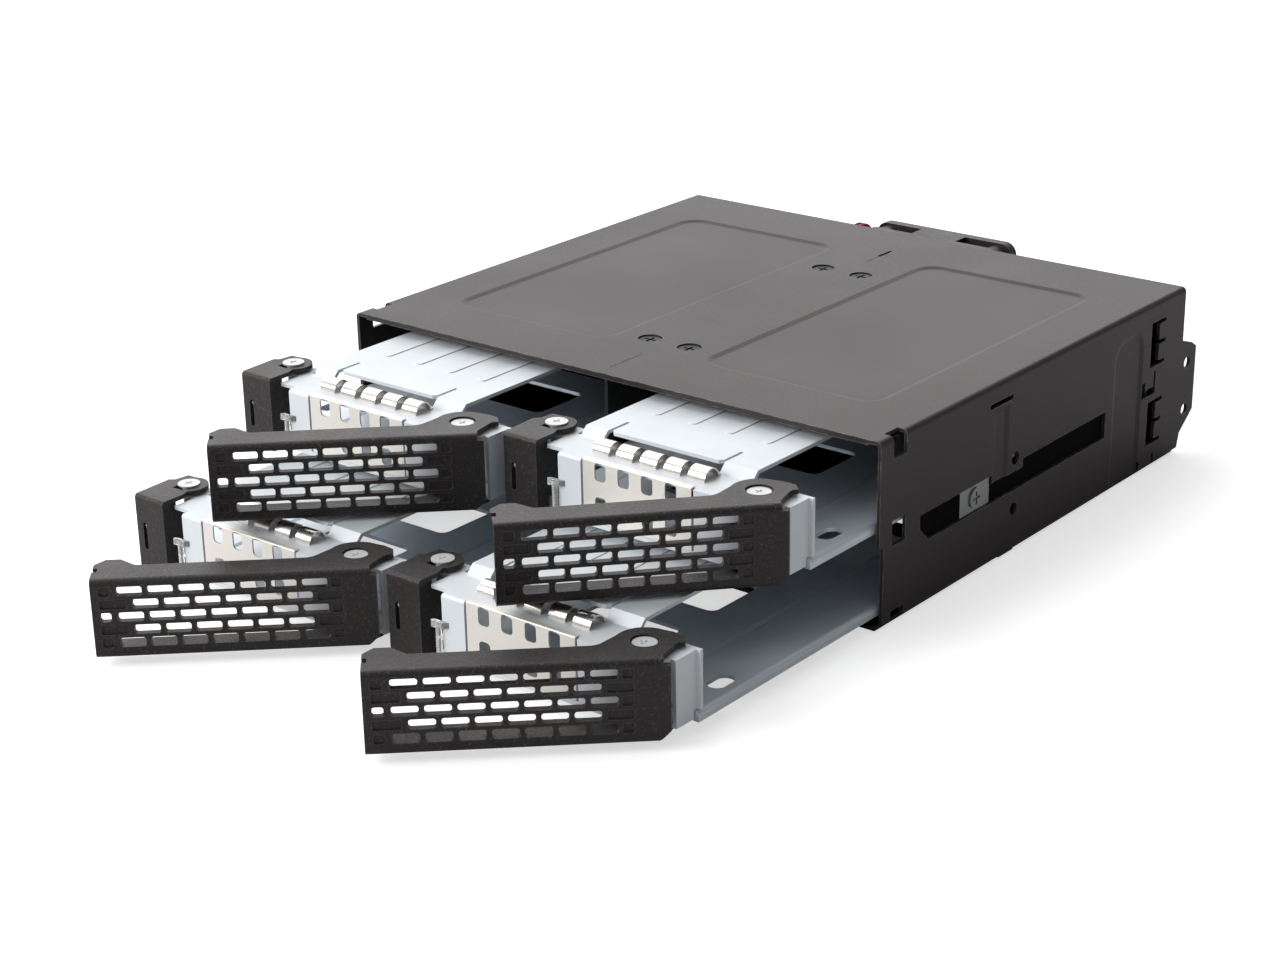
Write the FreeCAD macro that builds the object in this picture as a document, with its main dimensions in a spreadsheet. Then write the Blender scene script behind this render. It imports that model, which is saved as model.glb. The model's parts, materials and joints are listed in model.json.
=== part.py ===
import FreeCAD, Part
import Sketcher
import math
import os

# Hot swap drive cage for four 2.5 inch drives that fills one 5.25 inch bay, in millimetres.
# x runs to the right, y runs from the front edge of the casing to the rear, z runs up.
# The origin is the middle of the casing's front edge on the underside of the floor.
# A tray has its own frame: x from the middle of its column, y from the pivot of its
# lever and z from the lower edge of its side flanges. A lever has its pivot as origin.

DRIVING_SIZES = {
    # casing
    "casing_width": 146.0, "casing_height": 41.3, "casing_depth": 129.2, "casing_sheet": 0.8,
    "cover_lift": 1.0, "cover_bend": 1.2, "floor_lip": 1.8, "front_recess": 1.5, "recess_top": 18.0,
    "divider_sheet": 0.8, "divider_flange": 9.0, "hem_depth": 2.6,
    "panel_sink": 0.35, "panel_round": 5.0, "press_taper": 76.0, "panel_inner": 12.0,
    "panel_outer": 60.5, "panel_front": 17.0, "panel_rear": 111.0,
    "window_front": 4.5, "window_length": 5.0, "window_wrap": 2.5, "window_height": 5.5,
    "upper_window": 36.5, "middle_window": 17.5, "lower_window": 3.0,
    "vent_front": 15.0, "vent_rear": 92.5, "vent_bottom": 14.5, "vent_top": 20.8,
    "tongue_front": 43.0, "tongue_rear": 56.0, "tongue_bottom": 18.8,
    "strip_front": 43.5, "strip_rear": 49.0, "strip_top": 36.0, "strip_slit": 1.1, "pressing_depth": 0.35,
    "channel_front": 97.0, "channel_rear": 108.0, "channel_top": 35.0, "channel_round": 4.0,
    "comb_front": 113.0, "comb_rear": 117.0, "comb_reach": 120.0, "comb_height": 11.0,
    "lance_front": 109.5, "lance_rear": 116.2, "lance_bottom": 18.7, "lance_top": 24.3, "lance_kerf": 1.8,
    "foot_notch": 1.2, "foot_notch_top": 3.4, "foot_front": 47.0, "foot_rear": 53.0, "foot_bottom": 0.4,
    "upper_comb": 25.5, "lower_comb": 6.0, "prong_height": 1.0,
    "hole_y": 52.75, "hole_spacing_y": 79.25, "hole_z": 10.0, "hole_spacing_z": 11.84,
    "hole_radius": 1.5, "tab_rear": 136.3, "tab_low": 9.0, "tab_high": 25.0,
    "top_screw_x": 5.5, "top_screw_front": 25.0, "top_screw_rear": 92.5, "top_screw_head": 2.75,
    "top_screw_shank": 1.45, "top_screw_length": 3.4, "top_screw_sink": 0.3, "cross_half": 1.5,
    "cross_width": 0.6, "cross_depth": 0.35, "tab_slot_front": 4.0, "tab_slot_rear": 103.0,
    "tab_slot_length": 11.0, "tab_slope": 2.3, "tab_corner": 1.4, "tab_foot": 3.0,
    # guide rails
    "rail_front": 16.0, "rail_rear": 104.0, "rail_sheet": 0.6, "rib_width": 1.1, "rail_bottom": 13.8,
    "clip_front": 31.0, "clip_rear": 42.6, "clip_sheet": 0.4, "clip_gap": 0.1, "clip_screw_y": 37.0,
    "clip_screw_head": 2.3,
    # floor
    "floor_vent_half": 14.0, "floor_vent_length": 16.0, "floor_vent_front": 24.0, "floor_vent_pitch": 26.0,
    # rear
    "board_front": 114.0, "board_thickness": 1.6, "board_margin": 0.7, "board_bottom": 3.0,
    "board_top": 38.5, "rear_sheet": 0.8,
    "plug_width": 42.0, "plug_height": 5.2, "plug_depth": 7.0, "plug_shift": 4.0,
    "plug_key_width": 33.0, "plug_key_height": 1.4,
    "port_width": 14.0, "port_height": 6.5, "port_depth": 13.2, "port_x": 31.0, "port_pitch": 18.0,
    "port_z": 27.0, "power_width": 21.0, "power_height": 7.0, "power_x": 44.0, "power_z": 9.5,
    "port_gap": 0.4, "port_wall": 1.0, "plug_lift": 1.4, "plug_key_depth": 5.0, "notch_left_x": -27.0,
    "notch_right_x": -20.5, "notch_low": 34.0, "notch_high": 39.8,
    "fan_size": 40.0, "fan_depth": 10.0, "fan_bore": 18.9, "fan_x": 1.0, "fan_bottom": 0.9,
    "fan_hole_spacing": 32.0, "fan_hole_radius": 1.8, "fan_hub": 11.0, "fan_blade_tip": 18.2,
    "fan_strut": 2.2, "fan_strut_depth": 2.0, "fan_screw_radius": 1.5, "fan_screw_head": 2.7,
    "fan_pin": 1.5, "running_fit": 0.05, "lead_width": 1.0, "lead_pitch": 1.3,
    "saddle_front": 133.0, "saddle_rear": 136.8, "saddle_left": 22.9, "saddle_bottom": 24.0,
    "saddle_top": 27.0, "fan_flange": 2.6, "fan_post": 3.4, "fan_rib": 6.5, "fan_corner": 3.0,
    # trays
    "side_clearance": 0.5, "tray_low": 2.8, "row_pitch": 18.6, "guide_clearance": 0.3,
    "tray_sheet": 0.8, "tray_length": 93.0, "pan_front": 4.6, "pan_drop": 2.2, "pan_bead": 1.4,
    "pan_bend": 1.1, "pan_groove_x": 21.5, "pan_groove": 0.9, "pan_groove_depth": 0.3,
    "pan_vent_left": 11.0, "pan_vent_right": 10.5, "pan_vent_front": 16.0, "pan_vent_length": 16.0,
    "pan_vent_pitch": 26.0,
    "drive_hole_x": 30.86, "drive_hole_y": 17.5, "drive_hole_spacing": 76.6,
    "drive_hole_radius": 2.0, "drive_hole_length": 2.5,
    "frame_front": 4.8, "frame_rear": 6.0, "frame_bottom": 0.6, "frame_top": 14.7,
    "frame_left": 20.8, "frame_right": 34.5, "frame_lip": 25.6, "post_left": 14.8, "post_right": 14.0,
    "frame_bend": 0.7, "pan_clearance": 0.2, "frame_trim": 4.6, "frame_corner": 6.8, "ear_inset": 0.6,
    "ear_front": 3.2, "ear_rear": 9.0,
    "lid_left": 23.0, "lid_right": 21.0, "lid_top": 16.7, "lid_front": 7.0, "lid_rear": 62.0,
    "lid_slit": 0.8, "lid_slit_flare": 0.8, "lid_slit_length": 6.5,
    "lid_tab_left": 16.4, "lid_tab_right": 12.1,
    "lid_rib_height": 0.2, "lid_rib_width": 2.0, "lid_rib_pitch": 9.5, "lid_rib_start": 20.0,
    "spring_sheet": 0.3, "spring_left": 14.2, "spring_right": 13.4, "spring_bottom": 1.7,
    "spring_slot_width": 2.9, "spring_slot_pitch": 6.0, "spring_slot_x": 9.7, "spring_hem": 1.3,
    "spring_slot_low": 3.5, "spring_slot_height": 3.9, "spring_slot_high": 10.8, "spring_slot_round": 0.9,
    "finger_radius": 2.4, "finger_width": 4.2, "finger_y": 1.8, "finger_x": 13.0, "finger_pitch": 6.1,
    "finger_strip": 0.9,
    "pivot_x": 26.4, "pivot_radius": 1.5, "shoulder_radius": 2.4, "guide_lift": 0.05,
    "screw_head_height": 0.3, "screw_cross": 0.95, "screw_cross_width": 0.4,
    "screw_cross_depth": 0.25, "guide_screw_low": 11.6,
    "front_low": 0.85, "front_high": 16.2, "front_skin": 1.0,
    # lever
    "lever_reach": 52.3, "lever_face": 8.6, "lever_wall": 1.5, "lever_right": 4.2,
    "lever_flange": 1.3, "lever_lobe": 5.8, "lever_bend": 1.3,
    "notch_left": 2.9, "notch_bottom": 14.9, "slot_width": 5.1, "slot_height": 2.0,
    "slot_pitch": 6.1, "slot_row": 2.77, "slot_middle": 8.13, "slot_start": 47.2, "slot_round": 0.55,
    "bore_rim": 2.8, "bore_rim_depth": 0.35, "lever_curve": 3.5, "hook_curve": 1.2,
    "pocket_depth": 0.35, "pocket_left": 50.7, "pocket_right": 2.6, "pocket_small": 2.2,
    "pocket_long": 5.4,
    # release button
    "button_left": 35.0, "button_right": 26.2, "button_face": 5.4, "button_wall": 1.2,
    "button_travel": 1.8, "button_screw_x": 29.7, "button_screw_y": 5.4, "button_lobe": 4.2,
    "button_side": 0.8, "button_tail": 3.0, "button_tail_low": 2.7, "button_tail_high": 13.4,
    "led_x": 1.9, "led_width": 1.2, "led_height": 6.2, "led_bottom": 3.9,
    "pipe_left": 23.3, "pipe_right": 19.0, "pipe_low": 7.7, "pipe_high": 8.9, "pipe_depth": 1.3,
    "stem_width": 0.8, "stem_x": 21.4,
    # pose in the photograph: how far each pivot stands in front of the casing, lever angles
    "upper_right_out": 26.9, "upper_left_out": 32.5, "lower_right_out": 62.8,
    "lower_left_out": 65.4, "upper_right_angle": 47.2, "upper_left_angle": 43.6,
    "lower_right_angle": 42.8, "lower_left_angle": 42.9,
}


class Size:
    """A length worked out from the sheet: its number and its formula."""

    def __init__(self, value, formula):
        self.value = value
        self.formula = formula

    def _join(self, other, sign, value):
        return Size(value, "(%s %s %s)" % (self.formula, sign, other.formula))

    def __add__(self, other):
        other = as_size(other)
        return self._join(other, "+", self.value + other.value)

    def __sub__(self, other):
        other = as_size(other)
        return self._join(other, "-", self.value - other.value)

    def __mul__(self, other):
        other = as_size(other)
        return self._join(other, "*", self.value * other.value)

    def __truediv__(self, other):
        other = as_size(other)
        return self._join(other, "/", self.value / other.value)

    def __neg__(self):
        return Size(-self.value, "(0 - %s)" % self.formula)

    def __radd__(self, other):
        return as_size(other) + self

    def __rsub__(self, other):
        return as_size(other) - self

    def __rmul__(self, other):
        return as_size(other) * self


def as_size(number):
    """A Size as it is, a plain number as a Size."""
    if isinstance(number, Size):
        return number
    return Size(float(number), "%.6g" % number if number >= 0 else "(0 - %.6g)" % -number)


doc = FreeCAD.newDocument("DriveCage")
sheet = doc.addObject("Spreadsheet::Sheet", "Sizes")
for row, (alias, number) in enumerate(DRIVING_SIZES.items(), start=1):
    sheet.set("A%d" % row, alias)
    sheet.set("B%d" % row, repr(number))
    sheet.setAlias("B%d" % row, alias)
doc.recompute()


class SheetSizes:
    """Reads a driving size by its name."""

    def __getattr__(self, name):
        return Size(float(sheet.get(name)), "Sizes." + name)


S = SheetSizes()
subparts = []

# Distances that several pieces share
inner_x = S.casing_width / 2 - S.casing_sheet
inner_top = S.casing_height - S.casing_sheet
divider_half = S.divider_sheet / 2
column_x = (inner_x + divider_half) / 2
bay_half = (inner_x - divider_half) / 2
tray_half = bay_half - S.side_clearance
tray_rear = S.pan_front + S.tray_length
floor_top = S.casing_sheet
rail_top = S.tray_low + S.row_pitch - S.guide_clearance
board_rear = S.board_front + S.board_thickness
rear_front = S.casing_depth - S.rear_sheet
flange_under = S.front_high - S.front_skin
lid_under = S.lid_top - S.tray_sheet
frame_under = S.frame_top - S.tray_sheet


class Piece:
    """One solid sub-part, built as a body from pads and pockets along the three axes."""

    PLANES = {"z": ("XY_Plane", 1), "y": ("XZ_Plane", -1), "x": ("YZ_Plane", 1)}

    def __init__(self, label):
        self.label = label
        self.body = doc.addObject("PartDesign::Body", label)
        self.body.Label = label
        self.count = 0
        subparts.append(self.body)

    def sketch(self, axis, start):
        """An empty sketch across an axis at a distance along it."""
        role, normal = self.PLANES[axis]
        self.count += 1
        sketch = self.body.newObject("Sketcher::SketchObject", "%s_outline_%d" % (self.label, self.count))
        plane = [feature for feature in self.body.Origin.OriginFeatures if feature.Role == role][0]
        sketch.AttachmentSupport = [(plane, "")]
        sketch.MapMode = "FlatFace"
        sketch.setExpression("AttachmentOffset.Base.z", (as_size(start) * normal).formula)
        return sketch

    def feature(self, kind, axis, start, length, outlines, onward=True):
        """A pad or pocket from start towards the plus side of an axis, or the minus side if not onward."""
        sketch = self.sketch(axis, start)
        for outline in outlines:
            outline(sketch)
        name = "%s_%s_%d" % (self.label, kind.lower(), self.count)
        feature = self.body.newObject("PartDesign::" + kind, name)
        feature.Profile = sketch
        feature.Type = "Length"
        feature.setExpression("Length", as_size(length).formula)
        along_normal = (self.PLANES[axis][1] > 0) == onward
        feature.Reversed = along_normal if kind == "Pocket" else not along_normal
        sketch.Visibility = False
        self.body.Tip = feature
        return feature

    def pad(self, axis, start, end, *outlines):
        return self.feature("Pad", axis, start, as_size(end) - as_size(start), outlines)

    def cut(self, axis, start, end, *outlines):
        return self.feature("Pocket", axis, start, as_size(end) - as_size(start), outlines)

    def press(self, axis, start, depth, outline, onward=True):
        """A shallow pressing that widens from its floor to the surface."""
        pocket = self.feature("Pocket", axis, start, depth, [outline], onward)
        pocket.setExpression("TaperAngle", "Sizes.press_taper")
        return pocket

    def box(self, x0, x1, y0, y1, z0, z1):
        return self.pad("z", z0, z1, rectangle(x0, x1, y0, y1))

    def repeat(self, feature, direction, spacing, count):
        """Copies of a feature along a direction of its own sketch."""
        pattern = self.body.newObject("PartDesign::LinearPattern", feature.Name + "_row")
        pattern.Originals = [feature]
        pattern.Direction = (feature.Profile[0], [direction])
        pattern.setExpression("Length", (as_size(spacing) * (count - 1)).formula)
        pattern.Occurrences = count
        self.body.Tip = pattern
        return pattern

    def dress(self, kind, size, choose):
        """A fillet or chamfer on the edges that a test picks by their middle and direction."""
        doc.recompute()
        base = self.body.Tip
        names = []
        for index, edge in enumerate(base.Shape.Edges, start=1):
            if edge.Curve.TypeId != "Part::GeomLine":
                continue
            middle = edge.valueAt((edge.FirstParameter + edge.LastParameter) / 2)
            if choose(middle, edge.tangentAt(edge.FirstParameter)):
                names.append("Edge%d" % index)
        dressing = self.body.newObject("PartDesign::" + kind, "%s_%s" % (self.label, kind.lower()))
        dressing.Base = (base, names)
        dressing.setExpression("Radius" if kind == "Fillet" else "Size", as_size(size).formula)
        self.body.Tip = dressing
        return dressing

    def place(self, x=0, y=0, z=0, angle=None):
        """Puts the body at a point, turned about z."""
        for axis, value in (("x", x), ("y", y), ("z", z)):
            self.body.setExpression("Placement.Base." + axis, as_size(value).formula)
        if angle is not None:
            self.body.Placement.Rotation.Axis = FreeCAD.Vector(0, 0, 1)
            self.body.setExpression("Placement.Rotation.Angle", as_size(angle).formula)


def hold(sketch, shape_rules, sizes):
    """Adds rules without a number, then sizes given as (kind, what it holds, size)."""
    rules = list(shape_rules)
    rules += [Sketcher.Constraint(kind, *held, size.value) for kind, held, size in sizes]
    indexes = sketch.addConstraint(rules)
    for index, (_, _, size) in zip(indexes[len(rules) - len(sizes):], sizes):
        sketch.setExpression("Constraints[%d]" % index, size.formula)


def at_point(geometry, vertex, u, v):
    """The two distances from the sketch's origin that hold a point."""
    distances = (("DistanceX", u), ("DistanceY", v))
    return [(kind, (-1, 1, geometry, vertex), as_size(size)) for kind, size in distances]


def polygon(*points):
    """A closed outline with straight sides."""

    def draw(sketch):
        corners = [(as_size(u), as_size(v)) for u, v in points]
        vectors = [FreeCAD.Vector(u.value, v.value, 0) for u, v in corners]
        first = sketch.GeometryCount
        sides = len(vectors)
        lines = [Part.LineSegment(vectors[i], vectors[(i + 1) % sides]) for i in range(sides)]
        sketch.addGeometry(lines, False)
        joins = [Sketcher.Constraint("Coincident", first + i, 2, first + (i + 1) % sides, 1)
                 for i in range(sides)]
        sizes = []
        for i, (u, v) in enumerate(corners):
            sizes += at_point(first + i, 1, u, v)
        hold(sketch, joins, sizes)

    return draw


def rectangle(u0, u1, v0, v1):
    """A rectangle between two distances each way."""
    return polygon((u0, v0), (u1, v0), (u1, v1), (u0, v1))


def circle(u, v, radius):
    """A circle about a point."""

    def draw(sketch):
        size = as_size(radius)
        middle = FreeCAD.Vector(as_size(u).value, as_size(v).value, 0)
        index = sketch.addGeometry(Part.Circle(middle, FreeCAD.Vector(0, 0, 1), size.value), False)
        hold(sketch, [], at_point(index, 3, u, v) + [("Radius", (index,), size)])

    return draw


def rounded(u0, u1, v0, v1, radius):
    """A rectangle with round corners."""

    def draw(sketch):
        left, right, low, high, size = [as_size(value) for value in (u0, u1, v0, v1, radius)]
        r = size.value
        x0, x1, y0, y1 = left.value, right.value, low.value, high.value
        first = sketch.GeometryCount
        up = FreeCAD.Vector(0, 0, 1)
        corners = ((x1 - r, y0 + r, -90), (x1 - r, y1 - r, 0), (x0 + r, y1 - r, 90), (x0 + r, y0 + r, 180))
        starts = ((x0 + r, y0), (x1, y0 + r), (x1 - r, y1), (x0, y1 - r))
        ends = ((x1 - r, y0), (x1, y1 - r), (x0 + r, y1), (x0, y0 + r))
        for (cx, cy, angle), start, end in zip(corners, starts, ends):
            sketch.addGeometry(Part.LineSegment(FreeCAD.Vector(*start, 0), FreeCAD.Vector(*end, 0)), False)
            ring = Part.Circle(FreeCAD.Vector(cx, cy, 0), up, r)
            turn = math.radians(angle)
            sketch.addGeometry(Part.ArcOfCircle(ring, turn, turn + math.pi / 2), False)
        rules = []
        for i in range(4):
            line, arc = first + 2 * i, first + 2 * i + 1
            following = first + (2 * i + 2) % 8
            rules.append(Sketcher.Constraint("Tangent", line, 2, arc, 1))
            rules.append(Sketcher.Constraint("Tangent", arc, 2, following, 1))
            rules.append(Sketcher.Constraint("Horizontal" if i % 2 == 0 else "Vertical", line))
            if i:
                rules.append(Sketcher.Constraint("Equal", first + 1, arc))
        hold(sketch, rules, [
            ("Radius", (first + 1,), size), ("DistanceY", (-1, 1, first, 1), low),
            ("DistanceX", (-1, 1, first + 2, 1), right), ("DistanceY", (-1, 1, first + 4, 1), high),
            ("DistanceX", (-1, 1, first + 6, 1), left)])

    return draw


def solid_group(label, kind_solids):
    """Separate solids that share one node, as a compound of primitives."""
    group = doc.addObject("Part::Compound", label)
    group.Label = label
    group.Links = kind_solids
    subparts.append(group)
    return group


def block(name, x0, x1, y0, y1, z0, z1):
    """A box primitive between two distances each way."""
    solid = doc.addObject("Part::Box", name)
    edges = [as_size(value) for value in (x0, x1, y0, y1, z0, z1)]
    for prop, low, high in (("Length", 0, 1), ("Width", 2, 3), ("Height", 4, 5)):
        solid.setExpression(prop, (edges[high] - edges[low]).formula)
    for axis, low in (("x", 0), ("y", 2), ("z", 4)):
        solid.setExpression("Placement.Base." + axis, edges[low].formula)
    return solid


TURNS = {"z": (FreeCAD.Vector(0, 0, 1), 0), "y": (FreeCAD.Vector(1, 0, 0), -90),
         "x": (FreeCAD.Vector(0, 1, 0), 90)}


def rod(name, axis, radius, start, end, x=0, y=0, z=0):
    """A round bar along an axis from start to end; the other two distances place it."""
    solid = doc.addObject("Part::Cylinder", name)
    start, end = as_size(start), as_size(end)
    solid.setExpression("Radius", as_size(radius).formula)
    solid.setExpression("Height", (end - start).formula)
    turn, angle = TURNS[axis]
    solid.Placement = FreeCAD.Placement(FreeCAD.Vector(), FreeCAD.Rotation(turn, angle))
    for name_of_axis, value in (("x", x), ("y", y), ("z", z)):
        value = start if name_of_axis == axis else as_size(value)
        solid.setExpression("Placement.Base." + name_of_axis, value.formula)
    return solid


def fuse(name, *solids):
    """One solid from several that meet."""
    whole = doc.addObject("Part::MultiFuse", name)
    whole.Shapes = list(solids)
    whole.Refine = True
    return whole


def carve(name, base, tool):
    """A solid less another."""
    rest = doc.addObject("Part::Cut", name)
    rest.Base = base
    rest.Tool = tool
    return rest


# Cover: the top and both sides, bent from one sheet

def along(direction, axis):
    return abs(abs(direction.dot(axis)) - 1) < 1e-6


def make_cover():
    half = S.casing_width / 2
    cover = Piece("cover")
    cover.pad("y", 0, S.casing_depth, polygon(
        (-half, S.cover_lift), (-inner_x, S.cover_lift), (-inner_x, inner_top), (inner_x, inner_top),
        (inner_x, S.cover_lift), (half, S.cover_lift), (half, S.casing_height), (-half, S.casing_height)))
    edge_x, edge_z = half.value, S.casing_height.value

    def is_top_bend(middle, direction):
        on_corner = abs(abs(middle.x) - edge_x) < 1e-4 and abs(middle.z - edge_z) < 1e-4
        return on_corner and along(direction, FreeCAD.Vector(0, 1, 0))

    cover.dress("Fillet", S.cover_bend, is_top_bend)
    # the hem folded back under the front edge of the top
    hem_side = inner_x - S.window_wrap
    cover.box(-hem_side, hem_side, 0, S.hem_depth, inner_top - S.casing_sheet / 2, inner_top)
    # rear tabs that carry the rear pair of mounting holes
    tab_root = S.casing_depth - S.casing_sheet
    tab = polygon((tab_root, S.cover_lift), (S.casing_depth, S.cover_lift),
                  (S.casing_depth + 1, S.tab_low / 2), (S.tab_rear, S.tab_low), (S.tab_rear, S.tab_high),
                  (S.tab_rear - S.tab_slope, S.tab_high + S.tab_corner),
                  (S.casing_depth, S.tab_high + S.tab_foot), (tab_root, S.tab_high + S.tab_foot))
    cover.pad("x", -half, -inner_x, tab)
    cover.pad("x", inner_x, half, tab)
    foot = rectangle(S.foot_front, S.foot_rear, S.foot_bottom, S.cover_lift)
    cover.pad("x", -half, -inner_x, foot)
    cover.pad("x", inner_x, half, foot)
    # openings that both sides share
    whole = (-half - 1, half + 1)
    window_rear = S.window_front + S.window_length
    middle_top = S.middle_window + S.window_height
    cover.cut("x", *whole, rectangle(-1, S.front_recess, 0, S.recess_top))
    cover.cut("x", *whole, rectangle(S.window_front, window_rear, S.middle_window, middle_top))
    cover.cut("x", *whole, rectangle(S.window_front, window_rear, 0, S.lower_window))
    vent_slope = S.vent_top - S.vent_bottom - 3
    cover.cut("x", *whole, polygon(
        (S.vent_front, S.vent_bottom + vent_slope), (S.vent_front + vent_slope, S.vent_bottom),
        (S.vent_rear, S.vent_bottom), (S.vent_rear, S.vent_top), (S.tongue_rear, S.vent_top),
        (S.tongue_rear, S.tongue_bottom), (S.tongue_front, S.tongue_bottom),
        (S.tongue_front, S.vent_top), (S.vent_front, S.vent_top)))
    cover.cut("x", *whole, rectangle(S.strip_front - 2, S.strip_rear + 2, S.strip_top,
                                     S.strip_top + S.strip_slit))
    kerf = S.lance_kerf
    cover.cut("x", *whole, polygon(
        (S.lance_front, S.lance_bottom), (S.lance_rear, S.lance_bottom), (S.lance_rear, S.lance_top),
        (S.lance_rear - kerf / 2, S.lance_top), (S.lance_rear - kerf / 2, S.lance_bottom + kerf),
        (S.lance_front + kerf, S.lance_bottom + kerf), (S.lance_front + kerf, S.lance_top - kerf),
        (S.lance_front, S.lance_top - kerf)))
    cover.cut("x", *whole, *[rectangle(y, y + S.foot_notch, 0, S.foot_notch_top)
                             for y in (S.channel_rear + 1, S.lance_rear)])
    for low in (S.upper_comb, S.lower_comb):
        high = low + S.comb_height
        outline = [(S.comb_front, low), (S.comb_reach, low), (S.comb_reach, low + S.prong_height),
                   (S.comb_rear, low + S.prong_height)]
        middle = (low + high) / 2
        outline += [(S.comb_rear, middle - S.prong_height / 2), (S.comb_reach, middle - S.prong_height / 2),
                    (S.comb_reach, middle + S.prong_height / 2), (S.comb_rear, middle + S.prong_height / 2)]
        outline += [(S.comb_rear, high - S.prong_height), (S.comb_reach, high - S.prong_height),
                    (S.comb_reach, high), (S.comb_front, high)]
        cover.cut("x", *whole, polygon(*outline))
    holes = [circle(S.hole_y + S.hole_spacing_y * i, S.hole_z + S.hole_spacing_z * j, S.hole_radius)
             for i in range(2) for j in range(2)]
    cover.cut("x", *whole, *holes)
    # shallow pressings of the sides, and windows that wrap over the bend
    for side in (-1, 1):
        floor = (half - S.pressing_depth) * side
        cover.press("x", floor, S.pressing_depth, rounded(
            S.channel_front, S.channel_rear, -2 * S.channel_round, S.channel_top, S.channel_round), side > 0)
        cover.press("x", floor, S.pressing_depth, rectangle(
            S.strip_front + 1, S.strip_rear - 1, S.tongue_bottom, S.strip_top - 2), side > 0)
        wrap = (-half - 1, -half + S.window_wrap) if side < 0 else (half - S.window_wrap, half + 1)
        cover.cut("x", *wrap, rectangle(S.window_front, window_rear, S.upper_window, S.casing_height + 1))
    # sunk panels of the top
    for x0, x1 in ((-S.panel_outer, -S.panel_inner), (S.panel_inner, S.panel_outer)):
        under, inset = S.casing_sheet, S.casing_sheet * 3
        cover.pad("z", inner_top - S.panel_sink, inner_top,
                  rounded(x0 + under, x1 - under, S.panel_front + under, S.panel_rear - under, S.panel_round))
        sunk = cover.press("z", S.casing_height - S.panel_sink, S.panel_sink,
                           rounded(x0 + inset, x1 - inset, S.panel_front + inset, S.panel_rear - inset,
                                   S.panel_round - under))
        sunk.Label = "sunk panel"
    # screw seats and slots for the divider's tabs
    seats = [circle(S.top_screw_x * i, y, S.top_screw_head + S.running_fit)
             for i in (-1, 1) for y in (S.top_screw_front, S.top_screw_rear)]
    slot = divider_half + S.running_fit
    tabs = [rectangle(-slot, slot, y - S.running_fit, y + S.tab_slot_length + S.running_fit)
            for y in (S.tab_slot_front, S.tab_slot_rear)]
    cover.cut("z", inner_top - 1, S.casing_height + 1, *seats, *tabs)


def make_floor():
    floor = Piece("floor_pan")
    edge = inner_x - S.running_fit
    floor.box(-edge, edge, 0, S.casing_depth - S.rear_sheet, 0, floor_top)
    for side in (-1, 1):
        lip = (-edge, -edge + S.casing_sheet) if side < 0 else (edge - S.casing_sheet, edge)
        floor.box(*lip, S.window_front + S.window_length, rear_front, floor_top, S.floor_lip)
    rib_outer = tray_half - S.guide_clearance
    for column in (-1, 1):
        for side in (-1, 1):
            near = column_x * column + rib_outer * side
            ends = (near, near - S.rib_width * side)
            low, high = ends if ends[0].value < ends[1].value else ends[::-1]
            floor.box(low, high, S.rail_front, S.rail_rear, floor_top, S.tray_low - S.guide_clearance)
    vents = []
    for column in (-1, 1):
        for i in range(3):
            y = S.floor_vent_front + S.floor_vent_pitch * i
            vents.append(rounded(column_x * column - S.floor_vent_half, column_x * column + S.floor_vent_half,
                                 y, y + S.floor_vent_length, 3))
    floor.cut("z", -1, floor_top + 1, *vents)


def make_divider():
    divider = Piece("divider")
    flange_low = inner_top - S.casing_sheet
    divider_rear = S.tab_slot_rear + S.tab_slot_length / 2
    divider.box(-divider_half, divider_half, S.hem_depth, divider_rear, floor_top, inner_top)
    flange_run = (S.top_screw_front - 8, S.top_screw_rear + 8)
    divider.box(-S.divider_flange, S.divider_flange, *flange_run, flange_low, inner_top)
    tabs = ((S.tab_slot_front, S.tab_slot_front + S.tab_slot_length), (S.tab_slot_rear, divider_rear))
    for tab_front, tab_end in tabs:
        divider.box(-divider_half, divider_half, tab_front, tab_end, inner_top, S.casing_height)
    reach = divider_half + S.side_clearance + S.rib_width
    divider.box(-reach, reach, S.rail_front, S.rail_rear, rail_top - S.rail_sheet, rail_top)
    shanks = [circle(S.top_screw_x * i, y, S.top_screw_shank + S.running_fit)
              for i in (-1, 1) for y in (S.top_screw_front, S.top_screw_rear)]
    divider.cut("z", flange_low - 1, inner_top + 1, *shanks)


def make_side_rail(side, name):
    rail = Piece("rail_" + name)
    reach = S.side_clearance + S.rib_width
    shelf = between(inner_x * side, (inner_x - reach) * side)
    rail.box(*shelf, S.rail_front, S.rail_rear, rail_top - S.rail_sheet, rail_top)
    wall = between(inner_x * side, (inner_x - S.rail_sheet) * side)
    rail.box(*wall, S.rail_front, S.rail_rear, S.rail_bottom, rail_top - S.rail_sheet)


def between(one, other):
    """Two distances, the lower one first."""
    return (one, other) if one.value < other.value else (other, one)


def cross_arms(half, width):
    """Half lengths and half widths of the two arms of a cross recess."""
    return (half, width / 2), (width / 2, half)


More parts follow.
